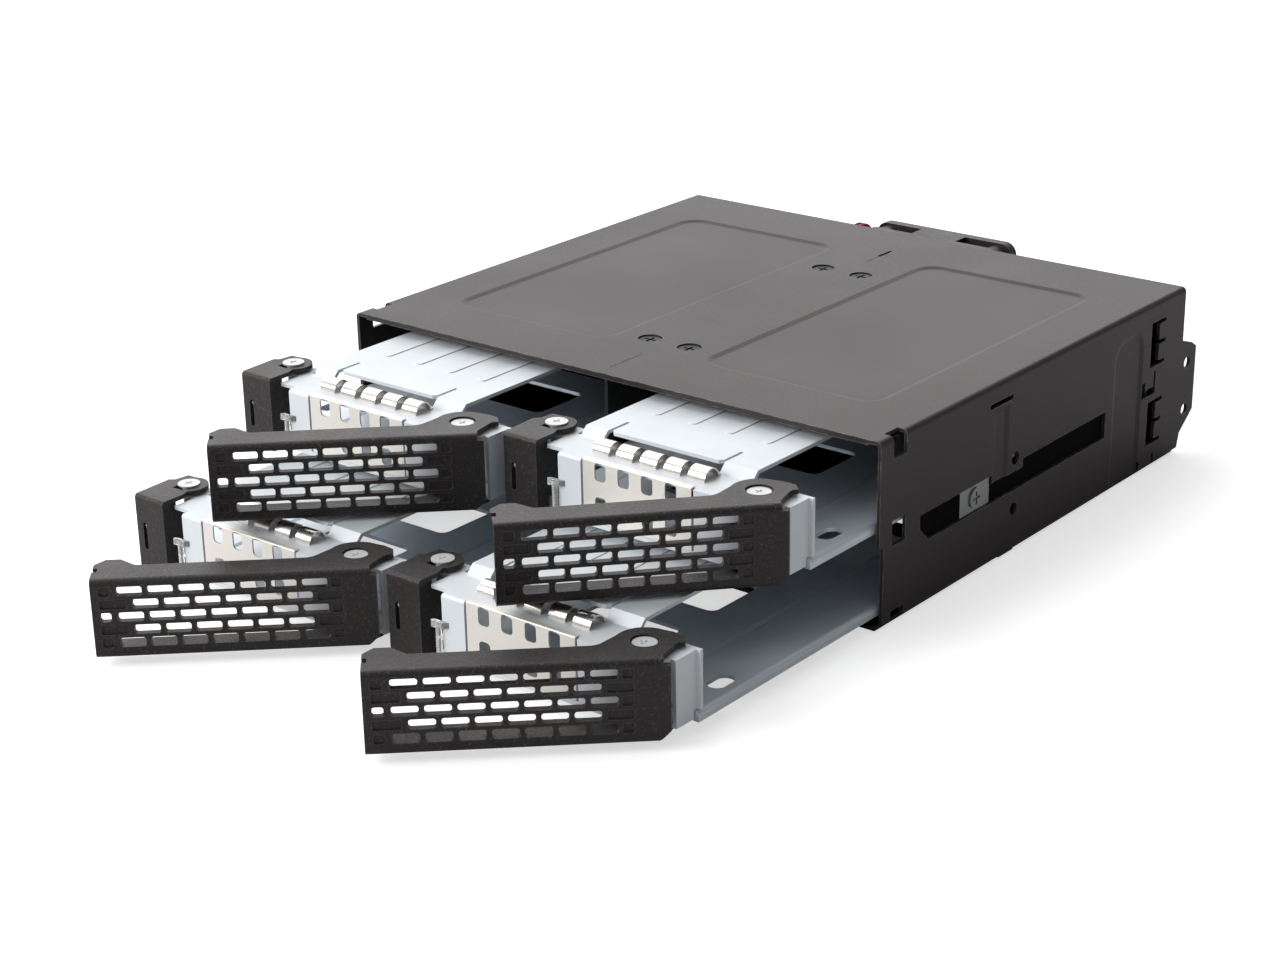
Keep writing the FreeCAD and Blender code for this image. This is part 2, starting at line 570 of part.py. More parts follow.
def make_casing_screws():
    heads = []
    for i, side in enumerate((-1, 1)):
        for j, y in enumerate((S.top_screw_front, S.top_screw_rear)):
            name = "cover_screw_%d_%d" % (i, j)
            x = S.top_screw_x * side
            seat = S.casing_height - S.top_screw_sink
            head = rod(name + "_head", "z", S.top_screw_head, inner_top, seat, x=x, y=y)
            shank = rod(name + "_shank", "z", S.top_screw_shank, S.casing_height - S.top_screw_length,
                        inner_top, x=x, y=y)
            cross = [block(name + "_cross_%d" % k, x - a, x + a, y - b, y + b, seat - S.cross_depth, seat + 1)
                     for k, (a, b) in enumerate(cross_arms(S.cross_half, S.cross_width))]
            heads.append(carve(name, fuse(name + "_whole", head, shank), fuse(name + "_recess", *cross)))
    solid_group("cover_screws", heads)
    clips, rivets = [], []
    middle = (S.vent_bottom + S.vent_top) / 2
    for side in (-1, 1):
        word = "left" if side < 0 else "right"
        y = S.clip_screw_y
        wall, seat, crown = inner_x * side, (inner_x + S.clip_sheet) * side, (inner_x + S.casing_sheet) * side
        clips.append(block("slot_clip_" + word, *between(wall, seat), S.clip_front, S.clip_rear,
                           S.vent_bottom + S.clip_gap, S.vent_top - S.clip_gap))
        name = "clip_screw_" + word
        head = rod(name + "_head", "x", S.clip_screw_head, *between(seat, crown), y=y, z=middle)
        cross = [block(name + "_cross_%d" % k, *between(crown - S.cross_depth * side, crown + side),
                       y - a, y + a, middle - b, middle + b)
                 for k, (a, b) in enumerate(cross_arms(S.cross_half, S.cross_width))]
        rivets.append(carve(name, head, fuse(name + "_recess", *cross)))
    solid_group("slot_clips", clips)
    solid_group("clip_screws", rivets)


# Rear: board, connectors, panel and fan

def fan_middle_z():
    return S.fan_bottom + S.fan_size / 2


def make_rear():
    panel = Piece("rear_panel")
    panel.box(-inner_x, inner_x, rear_front, S.casing_depth, floor_top, inner_top)
    panel.cut("y", rear_front - 1, S.casing_depth + 1,
              circle(S.fan_x, fan_middle_z(), S.fan_bore),
              *[circle(S.fan_x + S.fan_hole_spacing / 2 * i, fan_middle_z() + S.fan_hole_spacing / 2 * j,
                       S.fan_screw_radius + S.running_fit) for i in (-1, 1) for j in (-1, 1)])
    gap = S.port_gap
    ports = []
    for side in (-1, 1):
        for i in range(2):
            x = (S.port_x + S.port_pitch * i) * side
            ports.append(rectangle(x - S.port_width / 2 - gap, x + S.port_width / 2 + gap,
                                   S.port_z - S.port_height / 2 - gap, S.port_z + S.port_height / 2 + gap))
        x = S.power_x * side
        ports.append(rectangle(x - S.power_width / 2 - gap, x + S.power_width / 2 + gap,
                               S.power_z - S.power_height / 2 - gap, S.power_z + S.power_height / 2 + gap))
    ports.append(rounded(S.notch_left_x, S.notch_right_x, S.notch_low, S.notch_high, 1.5))
    panel.cut("y", rear_front - 1, S.casing_depth + 1, *ports)

    board = Piece("backplane")
    edge = inner_x - S.board_margin
    board.box(-edge, edge, S.board_front, board_rear, S.board_bottom, S.board_top)
    slots = [rectangle(column_x * column - 26, column_x * column - 22, 5, 36) for column in (-1, 1)]
    slots += [rectangle(-9, 9, 8, 12), rectangle(-9, 9, 28, 32)]
    board.cut("y", S.board_front - 1, board_rear + 1, *slots)

    plugs = []
    for column in (-1, 1):
        for level in range(2):
            name = "drive_plug_%s_%d" % ("left" if column < 0 else "right", level)
            x = column_x * column + S.plug_shift
            z = S.tray_low + S.row_pitch * level + S.pan_drop + S.plug_lift
            body = block(name + "_body", x - S.plug_width / 2, x + S.plug_width / 2,
                         S.board_front - S.plug_depth, S.board_front, z, z + S.plug_height)
            slot = block(name + "_slot", x - S.plug_key_width / 2, x + S.plug_key_width / 2,
                         S.board_front - S.plug_depth - 1, S.board_front - S.plug_depth + S.plug_key_depth,
                         z + S.plug_height / 2 - S.plug_key_height / 2,
                         z + S.plug_height / 2 + S.plug_key_height / 2)
            plugs.append(carve(name, body, slot))
    solid_group("drive_plugs", plugs)

    data, power = [], []
    for side in (-1, 1):
        word = "left" if side < 0 else "right"
        for i in range(2):
            data.append(port("data_port_%s_%d" % (word, i), (S.port_x + S.port_pitch * i) * side, S.port_z,
                             S.port_width, S.port_height))
        power.append(port("power_port_" + word, S.power_x * side, S.power_z, S.power_width, S.power_height))
    solid_group("data_ports", data)
    solid_group("power_ports", power)

    chips = [block("controller", 26, 36, board_rear, board_rear + 1.2, 14, 20),
             block("regulator", -36, -30, board_rear, board_rear + 1.8, 15, 20),
             rod("capacitor_0", "y", 2.5, board_rear, board_rear + 5.5, x=-22, z=8),
             rod("capacitor_1", "y", 2.5, board_rear, board_rear + 5.5, x=24, z=8),
             block("fan_header", -28, -20, board_rear, board_rear + 6, 32.5, 37)]
    solid_group("board_parts", chips)


def port(name, x, z, width, height):
    """A socket on the back of the board whose mouth stands in the rear panel."""
    wall = S.port_wall
    shell = block(name + "_shell", x - width / 2, x + width / 2, board_rear, board_rear + S.port_depth,
                  z - height / 2, z + height / 2)
    mouth = block(name + "_mouth", x - width / 2 + wall, x + width / 2 - wall, board_rear + 3,
                  board_rear + S.port_depth + 1, z - height / 2 + wall, z + height / 2 - wall)
    tongue = block(name + "_tongue", x - width / 2 + wall * 2.5, x + width / 2 - wall * 2.5, board_rear + 2,
                   board_rear + S.port_depth - 1, z - 0.6, z + 0.6)
    return fuse(name, carve(name + "_hollow", shell, mouth), tongue)


def make_fan():
    back = S.casing_depth + S.fan_depth
    middle = fan_middle_z()
    half = S.fan_size / 2
    frame = Piece("fan_frame")
    square = (S.fan_x - half, S.fan_x + half, S.fan_bottom, S.fan_bottom + S.fan_size)
    frame.pad("y", S.casing_depth, S.casing_depth + S.fan_flange, rounded(*square, S.fan_corner))
    frame.pad("y", S.casing_depth, back, circle(S.fan_x, middle, half - S.running_fit * 2))
    frame.pad("y", S.casing_depth, back, rectangle(
        S.fan_x - S.fan_rib, S.fan_x + S.fan_rib, S.fan_bottom, S.fan_bottom + S.fan_size))
    for i in (-1, 1):
        for j in (-1, 1):
            frame.pad("y", S.casing_depth, back, circle(S.fan_x + S.fan_hole_spacing / 2 * i,
                                                        middle + S.fan_hole_spacing / 2 * j, S.fan_post))
    frame.pad("y", back - S.fan_flange, back, rounded(*square, S.fan_corner))
    frame.cut("y", S.casing_depth - 1, back + 1, circle(S.fan_x, middle, S.fan_bore))
    frame.cut("y", S.casing_depth - 1, back + 1,
              *[circle(S.fan_x + S.fan_hole_spacing / 2 * i, middle + S.fan_hole_spacing / 2 * j,
                       S.fan_hole_radius) for i in (-1, 1) for j in (-1, 1)])
    # struts that carry the motor seat behind the rotor
    strut_front = back - S.fan_strut_depth
    reach = S.fan_bore + 0.5
    frame.pad("y", strut_front, back, circle(S.fan_x, middle, S.fan_hub))
    frame.box(S.fan_x - reach, S.fan_x + reach, strut_front, back,
              middle - S.fan_strut / 2, middle + S.fan_strut / 2)
    frame.box(S.fan_x - S.fan_strut / 2, S.fan_x + S.fan_strut / 2, strut_front, back,
              middle - reach, middle + reach)
    frame.pad("y", S.casing_depth + 1.5, strut_front, circle(S.fan_x, middle, S.fan_pin))
    frame.box(-S.saddle_left, S.fan_x - half + 2, S.saddle_front, S.saddle_rear,
              S.saddle_bottom, S.saddle_top)

    rotor = Part.makeCylinder(S.fan_hub.value - 0.5, S.fan_depth.value - S.fan_strut_depth.value - 1.4,
                              FreeCAD.Vector(0, 0.9, 0), FreeCAD.Vector(0, 1, 0))
    for index in range(7):
        rotor = rotor.fuse(fan_blade(index * 360 / 7))
    bore = Part.makeCylinder(S.fan_pin.value + S.running_fit.value, 20, FreeCAD.Vector(0, 1.3, 0),
                             FreeCAD.Vector(0, 1, 0))
    wheel = doc.addObject("Part::Feature", "fan_rotor")
    wheel.Label = "fan_rotor"
    wheel.Shape = rotor.cut(bore).removeSplitter()
    wheel.Placement = FreeCAD.Placement(
        FreeCAD.Vector(S.fan_x.value, S.casing_depth.value, middle.value), FreeCAD.Rotation())
    subparts.append(wheel)

    screws = []
    for i in (-1, 1):
        for j in (-1, 1):
            name = "fan_screw_%d" % len(screws)
            x = S.fan_x + S.fan_hole_spacing / 2 * i
            z = middle + S.fan_hole_spacing / 2 * j
            shank = rod(name + "_shank", "y", S.fan_screw_radius, rear_front - 1.5, back, x=x, z=z)
            head = rod(name + "_head", "y", S.fan_screw_head, back, back + 1.6, x=x, z=z)
            cross = [block(name + "_cross_%d" % k, x - a, x + a, back + 0.8, back + 3, z - b, z + b)
                     for k, (a, b) in enumerate(((1.5, 0.35), (0.35, 1.5)))]
            screws.append(carve(name, fuse(name + "_whole", shank, head), fuse(name + "_recess", *cross)))
    solid_group("fan_screws", screws)


# The red lead of the fan, from the clip on its frame over and down to the header on the board
LEAD_ROUTE = ((-20.6, 135.6, 27.0), (-20.6, 135.6, 31.4), (-20.7, 137.2, 37.4), (-20.9, 133.4, 40.9),
              (-22.6, 129.3, 38.5), (-24.0, 125.6, 34.75), (-24.0, 121.6, 34.75))


def make_leads():
    for index, label in enumerate(("fan_lead_red", "fan_lead_black")):
        points = [FreeCAD.Vector(x - S.lead_pitch.value * index, y, z) for x, y, z in LEAD_ROUTE]
        lead = doc.addObject("Part::Feature", label)
        lead.Label = label
        lead.Shape = tube(points, S.lead_width.value / 2, label)
        lead.Placement = FreeCAD.Placement()
        subparts.append(lead)


def tube(points, radius, label):
    """A round cord along straight runs joined by the largest arcs that they allow."""
    edges = []
    start = points[0]
    for before, corner, after in zip(points, points[1:], points[2:]):
        back, onward = before - corner, after - corner
        run = min(back.Length, onward.Length)
        half_turn = (math.pi - back.getAngle(onward)) / 2
        bend = 0.45 * run / math.tan(half_turn)
        print(label, "radius", round(bend, 2))
        back.normalize()
        onward.normalize()
        first, last = corner + back * (0.45 * run), corner + onward * (0.45 * run)
        inward = back + onward
        inward.normalize()
        middle = corner + inward * (bend / math.cos(half_turn) - bend)
        edges.append(Part.LineSegment(start, first).toShape())
        edges.append(Part.Arc(first, middle, last).toShape())
        start = last
    edges.append(Part.LineSegment(start, points[-1]).toShape())
    path = Part.Wire(edges)
    ring = Part.Wire(Part.makeCircle(radius, points[0], points[1] - points[0]))
    solid = path.makePipeShell([ring], True, False)
    expected = math.pi * radius ** 2 * path.Length
    print(label, "volume share", round(solid.Volume / expected, 4))
    return solid


def fan_blade(angle):
    """A twisted blade from the hub to the tip, lofted through two flat sections."""
    root, tip = S.fan_hub.value - 1.2, S.fan_blade_tip.value
    sections = []
    for radius, pitch, chord in ((root, 42, 8.5), (tip, 28, 11.0)):
        turn = math.radians(pitch)
        along_chord = FreeCAD.Vector(math.cos(turn), math.sin(turn), 0) * (chord / 2)
        across = FreeCAD.Vector(-math.sin(turn), math.cos(turn), 0) * 0.45
        centre = FreeCAD.Vector(0, 3.9, radius)
        corners = [centre - along_chord - across, centre + along_chord - across,
                   centre + along_chord + across, centre - along_chord + across]
        sections.append(Part.makePolygon(corners + corners[:1]))
    blade = Part.makeLoft(sections, True, True)
    reach = Part.makeCylinder(tip - 0.1, 20, FreeCAD.Vector(0, -2, 0), FreeCAD.Vector(0, 1, 0))
    slab = Part.makeBox(50, S.fan_depth.value - S.fan_strut_depth.value - 1.4, 50,
                        FreeCAD.Vector(-25, 0.9, -25))
    blade = blade.common(reach).common(slab)
    blade.rotate(FreeCAD.Vector(), FreeCAD.Vector(0, 1, 0), angle)
    return blade


# Trays

TRAYS = (("upper_right", 1, 1), ("upper_left", -1, 1), ("lower_right", 1, 0), ("lower_left", -1, 0))


def named(stem, tail):
    return getattr(S, stem + tail)


def tray_place(tray):
    """Where the origin of a tray lies at rest."""
    name, side, level = tray
    return column_x * side, -named(name, "_out"), S.tray_low + S.row_pitch * level


def make_pan(tray):
    pan = Piece("pan_" + tray[0])
    skin = S.tray_sheet
    pan.pad("y", S.pan_front, tray_rear, polygon(
        (-tray_half, 0), (-tray_half + S.pan_bead, 0), (-tray_half + S.pan_bead, S.pan_drop - skin),
        (tray_half - S.pan_bead, S.pan_drop - skin), (tray_half - S.pan_bead, 0), (tray_half, 0),
        (tray_half, S.pan_drop), (-tray_half, S.pan_drop)))
    edge_x, edge_z = tray_half.value, S.pan_drop.value

    def is_bend(middle, direction):
        on_corner = abs(abs(middle.x) - edge_x) < 1e-4 and abs(middle.z - edge_z) < 1e-4
        return on_corner and along(direction, FreeCAD.Vector(0, 1, 0))

    pan.dress("Fillet", S.pan_bend, is_bend)
    for x in (-S.pan_groove_x, S.pan_groove_x):
        pan.cut("y", S.frame_rear + 1, tray_rear - 1, polygon(
            (x - S.pan_groove, S.pan_drop), (x, S.pan_drop - S.pan_groove_depth),
            (x + S.pan_groove, S.pan_drop)))
    fronts = [S.pan_vent_front + S.pan_vent_pitch * i for i in range(3)]
    vents = [rounded(-S.pan_vent_left, S.pan_vent_right, y, y + S.pan_vent_length, 2) for y in fronts]
    pan.cut("z", -1, S.pan_drop + 1, *vents)
    low = S.drive_hole_y - S.drive_hole_length / 2
    long_half = S.drive_hole_length / 2 + S.drive_hole_radius
    ovals = [rounded(S.drive_hole_x * side - S.drive_hole_radius, S.drive_hole_x * side + S.drive_hole_radius,
                     S.drive_hole_y - long_half + S.drive_hole_spacing * i,
                     S.drive_hole_y + long_half + S.drive_hole_spacing * i, S.drive_hole_radius * 0.98)
             for side in (-1, 1) for i in range(2)]
    pan.cut("z", -1, S.pan_drop + 1, *ovals)
    pan.place(*tray_place(tray))


def make_frame(tray):
    frame = Piece("frame_" + tray[0])
    skin = S.tray_sheet
    front, right, pivot = -S.frame_front, S.frame_right, S.pivot_x
    trim_x, trim_y, corner_x = pivot + S.frame_trim, -1.0, pivot + S.frame_corner
    ear = -tray_half + S.ear_inset
    # top flange with a lip beside the button and an ear below the button's screw
    frame.pad("z", frame_under, S.frame_top, polygon(
        (-S.frame_left, front), (trim_x, front), (corner_x, trim_y), (right, trim_y), (right, S.frame_rear),
        (-S.frame_lip + 1, S.frame_rear), (-S.frame_lip + 1, S.ear_rear), (ear, S.ear_rear),
        (ear, S.ear_front), (-S.frame_lip, S.ear_front), (-S.frame_lip, front + 2.3),
        (-S.frame_left, front + 2.3)))
    # front wall, left return, right wall and the foot below the pan
    frame.box(-S.frame_left, trim_x, front, front + skin, S.frame_bottom, frame_under)
    frame.box(-S.frame_left, -S.frame_left + skin, front + skin, 3, S.frame_bottom, frame_under)
    foot_top = S.frame_bottom + skin
    pan_stop = S.pan_front - S.pan_clearance
    frame.pad("z", S.frame_bottom, foot_top, polygon(
        (-S.frame_left, front + skin), (trim_x, front + skin), (corner_x, trim_y), (right, trim_y),
        (right, pan_stop), (right - 1, pan_stop), (right - 1, 10), (-S.frame_left, 10)))
    above_pan = S.pan_drop + S.pan_clearance
    frame.pad("x", right - skin, right, polygon(
        (trim_y, foot_top), (pan_stop, foot_top), (pan_stop, above_pan),
        (S.frame_rear, above_pan), (S.frame_rear, frame_under), (trim_y, frame_under)))
    frame.box(right, tray_half, S.frame_rear - skin, S.frame_rear, above_pan, S.frame_top)
    # lid: two cranked legs, the plate and its ribs
    rise = lid_under - frame_under
    leg = polygon((S.frame_rear - 1, S.frame_top), (S.frame_rear - 1 + rise, S.lid_top),
                  (S.lid_front + 1.2, S.lid_top), (S.lid_front + 1.2, lid_under),
                  (S.frame_rear - 0.6 + rise, lid_under), (S.frame_rear - 0.6, frame_under),
                  (S.frame_rear - 1, frame_under))
    frame.pad("x", -S.lid_left, -S.lid_tab_left - S.lid_slit, leg)
    frame.pad("x", S.lid_tab_right + S.lid_slit, S.lid_right, leg)
    frame.box(-S.lid_left, S.lid_right, S.lid_front, S.lid_rear, lid_under, S.lid_top)
    slit_end = S.lid_front + S.lid_slit_length
    slits = []
    for near, flare in ((-S.lid_tab_left, S.lid_slit_flare), (S.lid_tab_right, -S.lid_slit_flare)):
        far = near - flare * (S.lid_slit / S.lid_slit_flare)
        slits.append(polygon(
            (far, S.lid_front - 1), (near + flare, S.lid_front - 1), (near + flare, S.lid_front),
            (near, S.lid_front + S.lid_slit), (near, slit_end), (far, slit_end)))
    frame.cut("z", lid_under - 0.1, S.lid_top + 0.1, *slits)
    middle = (S.lid_right - S.lid_left) / 2
    half = S.lid_rib_width / 2
    ribs = [rounded(middle + S.lid_rib_pitch * i - half, middle + S.lid_rib_pitch * i + half,
                    S.lid_rib_start, S.lid_rear - 4, half * 0.95) for i in (-1.5, -0.5, 0.5, 1.5)]
    frame.pad("z", S.lid_top, S.lid_top + S.lid_rib_height, *ribs)
    # window behind the spring panel, open into the top flange
    frame.cut("y", front - 1, front + skin + 0.1,
              rectangle(-S.post_left, S.post_right, S.frame_bottom + 1, S.frame_top + 1))
    frame.cut("z", 0, S.frame_top + 1, circle(pivot, 0, S.pivot_radius + S.running_fit),
              circle(-S.button_screw_x, S.button_screw_y, S.pivot_radius + S.running_fit))
    edge_y, edge_z = front.value, S.frame_top.value

    def is_bend(middle, direction):
        on_corner = abs(middle.y - edge_y) < 1e-4 and abs(middle.z - edge_z) < 1e-4
        return middle.x < 0 and on_corner and along(direction, FreeCAD.Vector(1, 0, 0))

    frame.dress("Fillet", S.frame_bend, is_bend)
    frame.place(*tray_place(tray))


def make_spring_panel(tray):
    panel = Piece("spring_panel_" + tray[0])
    skin, front = S.spring_sheet, -S.frame_front
    top = S.frame_top + skin
    panel.box(-S.spring_left, S.spring_right, front, front + skin, S.spring_bottom, top)
    panel.box(-S.spring_left, S.spring_right, front + skin, front + S.spring_hem, S.frame_top, top)
    half = S.spring_slot_width / 2
    slots = []
    for i in range(4):
        x = -S.spring_slot_x + S.spring_slot_pitch * i
        for low in (S.spring_slot_low, S.spring_slot_high):
            slots.append(rounded(x - half, x + half, low, low + S.spring_slot_height, S.spring_slot_round))
    panel.cut("y", front - 1, front + skin + 0.1, *slots)
    edge_y, edge_z = front.value, top.value

    def is_bend(middle, direction):
        on_corner = abs(middle.y - edge_y) < 1e-4 and abs(middle.z - edge_z) < 1e-4
        return on_corner and along(direction, FreeCAD.Vector(1, 0, 0))

    panel.dress("Fillet", skin * 0.9, is_bend)
    panel.place(*tray_place(tray))


def make_fingers(tray):
    fingers = Piece("fingers_" + tray[0])
    half = S.finger_width / 2
    rear = S.finger_y + S.finger_radius - S.spring_sheet
    last = -S.finger_x + S.finger_pitch * 4
    fingers.box(-S.finger_x - half, last + half, rear, rear + S.finger_strip, S.frame_top,
                S.frame_top + S.spring_sheet)
    arch = half_ring(S.finger_y, S.frame_top, S.finger_radius, S.spring_sheet)
    for i in range(5):
        x = -S.finger_x + S.finger_pitch * i
        fingers.pad("x", x - half, x + half, arch)
    fingers.place(*tray_place(tray))


def half_ring(u, v, radius, skin):
    """Half a ring that stands on a line: the section of a curled finger."""

    def draw(sketch):
        outer, inner = as_size(radius), as_size(radius) - as_size(skin)
        centre = FreeCAD.Vector(as_size(u).value, as_size(v).value, 0)
        up = FreeCAD.Vector(0, 0, 1)
        sketch.addGeometry(Part.ArcOfCircle(Part.Circle(centre, up, outer.value), 0, math.pi), False)
        sketch.addGeometry(Part.ArcOfCircle(Part.Circle(centre, up, inner.value), 0, math.pi), False)
        step = FreeCAD.Vector(1, 0, 0)
        sketch.addGeometry(Part.LineSegment(centre + step * inner.value, centre + step * outer.value), False)
        sketch.addGeometry(Part.LineSegment(centre - step * inner.value, centre - step * outer.value), False)
        joins = ((2, 1, 1, 1), (2, 2, 0, 1), (3, 1, 1, 2), (3, 2, 0, 2), (0, 3, 1, 3))
        rules = [Sketcher.Constraint("Coincident", *ends) for ends in joins]
        rules += [Sketcher.Constraint("Horizontal", line) for line in (2, 3)]
        hold(sketch, rules, at_point(0, 3, u, v) + [("Radius", (0,), outer), ("Radius", (1,), inner)])

    return draw


def make_button(tray):
    button = Piece("button_" + tray[0])
    left, right = -S.button_left, -S.button_right
    front = -S.button_face
    screw_x, screw_y = -S.button_screw_x, S.button_screw_y
    back = front + S.button_wall
    outline = polygon((left, front), (right, front), (right, 0.4), (right - 0.6, 2.2),
                      (screw_x + 2.5, screw_y + 1), (screw_x, screw_y + 2), (left + 3.6, 9.2),
                      (left + 1.0, 9.0), (left + 0.6, 5.6), (left - 0.5, 4.8), (left - 0.4, 2.5))
    button.pad("z", flange_under, S.front_high, outline)
    button.pad("z", flange_under, S.front_high, circle(screw_x, screw_y, S.button_lobe))
    button.box(left, right, front, back, -S.front_low, flange_under)
    button.box(left, left + S.button_side, back, 1, -S.front_low, flange_under)
    button.box(right - S.button_side, right, back, -1.6, -S.front_low, flange_under)
    button.box(right - S.button_side, right, -1.7, S.button_tail, S.button_tail_low, S.button_tail_high)
    button.box(left, right, back, 2.4, -S.front_low, -S.front_low + S.front_skin)
    led_x = left + S.led_x
    button.cut("y", front - 1, back + 0.1, rounded(
        led_x, led_x + S.led_width, S.led_bottom, S.led_bottom + S.led_height, S.led_width * 0.45))
    # slot for the guide screw, long enough for the travel
    reach = S.pivot_radius + S.running_fit
    slot_front = screw_y - reach - S.button_travel
    button.cut("z", flange_under - 0.5, S.front_high + 0.5,
               rectangle(screw_x - reach, screw_x + reach, slot_front, screw_y + reach))
    edge_y, edge_z = front.value, S.front_high.value

    def is_bend(middle, direction):
        on_corner = abs(middle.y - edge_y) < 1e-4 and abs(middle.z - edge_z) < 1e-4
        return on_corner and along(direction, FreeCAD.Vector(1, 0, 0))

    button.dress("Fillet", S.button_wall * 0.7, is_bend)
    button.place(*tray_place(tray))


def make_light_pipe(tray):
    pipe = Piece("light_pipe_" + tray[0])
    front = -S.frame_front - S.pipe_depth
    shy = S.pipe_depth / 4
    pipe.pad("z", S.pipe_low, S.pipe_high, polygon(
        (-S.pipe_left, front + shy * 2), (-S.pipe_left + shy * 2, front),
        (-S.pipe_right - shy * 3, front + shy),
        (-S.pipe_right, -S.frame_front), (-S.pipe_left + shy * 2, -S.frame_front)))
    pipe.box(-S.stem_x - S.stem_width / 2, -S.stem_x + S.stem_width / 2, front + shy, -S.frame_front,
             S.frame_bottom + 1, S.pipe_low)
    pipe.place(*tray_place(tray))


def make_tray_screws(tray):
    name = "screws_" + tray[0]
    x0, y0, z0 = tray_place(tray)
    screws = []
    guide_seat = S.front_high + S.guide_lift
    spots = (("pivot", S.pivot_x, as_size(0), -S.front_low, S.frame_top, S.front_high - S.bore_rim_depth),
             ("guide", -S.button_screw_x, S.button_screw_y, S.guide_screw_low, guide_seat,
              guide_seat + S.screw_head_height))
    for word, dx, dy, low, seat, top in spots:
        x, y = x0 + dx, y0 + dy
        stem = "%s_%s" % (name, word)
        head = rod(stem + "_head", "z", S.shoulder_radius, z0 + seat, z0 + top, x=x, y=y)
        shank = rod(stem + "_shank", "z", S.pivot_radius, z0 + low, z0 + seat, x=x, y=y)
        cross = [block("%s_cross_%d" % (stem, k), x - a, x + a, y - b, y + b,
                       z0 + top - S.screw_cross_depth, z0 + top + 1)
                 for k, (a, b) in enumerate(cross_arms(S.screw_cross, S.screw_cross_width))]
        screws.append(carve(stem, fuse(stem + "_whole", head, shank), fuse(stem + "_recess", *cross)))
    solid_group(name, screws)


def make_lever(tray):
    lever = Piece("lever_" + tray[0])
    left, right, face = -S.lever_reach, S.lever_right, -S.lever_face
    inside = face + S.lever_wall
    flange, lobe = -S.lever_flange, S.lever_lobe
    low, high = -S.front_low, S.front_high
    lever.pad("y", face, inside, polygon(
        (left, low), (right - 2.4, low), (right, low + 2.4), (right, S.notch_bottom),
        (S.notch_left, S.notch_bottom), (S.notch_left, high), (left, high)))
    # top flange: hook at the left end, lobe about the pivot, cut corner at the right
    hook = left + 8.3
    lever.pad("z", flange_under, high, polygon(
        (left, inside), (left, -4.2), (left + 1, -4.2), (left + 1, -2.4), (left, -2.4), (left, -0.5),
        (left + 2.1, 1.9), (left + 5.1, 1.9), (hook, flange), (-9, flange), (-5, 2.9), (0, 4.5),
        (2, lobe - 0.4), (5.6, 3.3), (7.5, 1.2), (7.5, -1.4), (6.2, -1.4), (5.2, -2.6),
        (S.notch_left, -6.3), (S.notch_left, inside)))
    lever.pad("z", flange_under, high, circle(0, 0, lobe))
    lever.pad("z", low, low + S.front_skin, polygon(
        (left, inside), (left, flange), (-9, flange), (-5, 2.9), (0, 4.5), (lobe - 0.5, 0), (4.4, -3.4),
        (right - 2.4, inside)))
    lever.pad("z", low, low + S.front_skin, circle(0, 0, lobe))
    lever.cut("z", low - 1, low + S.front_skin + 1, circle(0, 0, S.pivot_radius + S.running_fit))
    lever.cut("z", flange_under - 1, high + 1, circle(0, 0, S.shoulder_radius + S.running_fit))
    lever.cut("z", high - S.bore_rim_depth, high + 1, circle(0, 0, S.bore_rim))
    # open slots: seven in rows 1, 3 and 5, six in rows 2 and 4
    half = S.slot_height / 2

    def row_z(row):
        return S.slot_middle + S.slot_row * row

    def slot_at(x, width, row):
        return rounded(x, x + width, row_z(row) - half, row_z(row) + half, S.slot_round)

    odd = lever.cut("y", face - 1, inside + 0.1,
                    *[slot_at(-S.slot_start, S.slot_width, row) for row in (-2, 0, 2)])
    lever.repeat(odd, "H_Axis", S.slot_pitch, 7)
    even = lever.cut("y", face - 1, inside + 0.1,
                     *[slot_at(-S.slot_start + S.slot_pitch / 2, S.slot_width, row) for row in (-1, 1)])
    lever.repeat(even, "H_Axis", S.slot_pitch, 6)
    lever.cut("y", face - 1, inside + 0.1, slot_at(-S.pocket_left, S.pocket_small, 0))
    # blind pockets that finish the pattern at both ends
    small_left = [slot_at(-S.pocket_left, S.pocket_small, row) for row in (-2, 2)]
    small_right = [slot_at(-S.pocket_right - S.pocket_small, S.pocket_small, row) for row in (-2, 0, 2)]
    long_left = [slot_at(-S.pocket_left, S.pocket_long, row) for row in (-1, 1)]
    long_right = [slot_at(-S.pocket_right - S.pocket_long + 0.4, S.pocket_long - 0.4, row) for row in (-1, 1)]
    lever.cut("y", face - 1, face + S.pocket_depth, *small_left, *small_right, *long_left, *long_right)
    edge_y, edge_low, edge_high = face.value, low.value, high.value

    def is_bend(middle, direction):
        on_edge = abs(middle.y - edge_y) < 1e-4
        at_end = abs(middle.z - edge_high) < 1e-4 or abs(middle.z - edge_low) < 1e-4
        return on_edge and at_end and along(direction, FreeCAD.Vector(1, 0, 0))

    lever.dress("Fillet", S.lever_bend, is_bend)
    for x, y, radius in ((-9, -S.lever_flange, S.lever_curve), (hook, -S.lever_flange, S.hook_curve)):
        corner = (as_size(x).value, as_size(y).value)

        def is_corner(middle, direction):
            at_corner = abs(middle.x - corner[0]) < 1e-3 and abs(middle.y - corner[1]) < 1e-3
            return at_corner and along(direction, FreeCAD.Vector(0, 0, 1))

        lever.dress("Fillet", radius, is_corner)
    x0, y0, z0 = tray_place(tray)
    lever.place(x0 + S.pivot_x, y0, z0, named(tray[0], "_angle"))


make_cover()
make_floor()
make_divider()
make_side_rail(-1, "left")
make_side_rail(1, "right")
make_casing_screws()
make_rear()
make_fan()
make_leads()
for tray in TRAYS:
    make_pan(tray)
    make_frame(tray)
    make_spring_panel(tray)
    make_fingers(tray)
    make_button(tray)
    make_light_pipe(tray)
    make_tray_screws(tray)
    make_lever(tray)

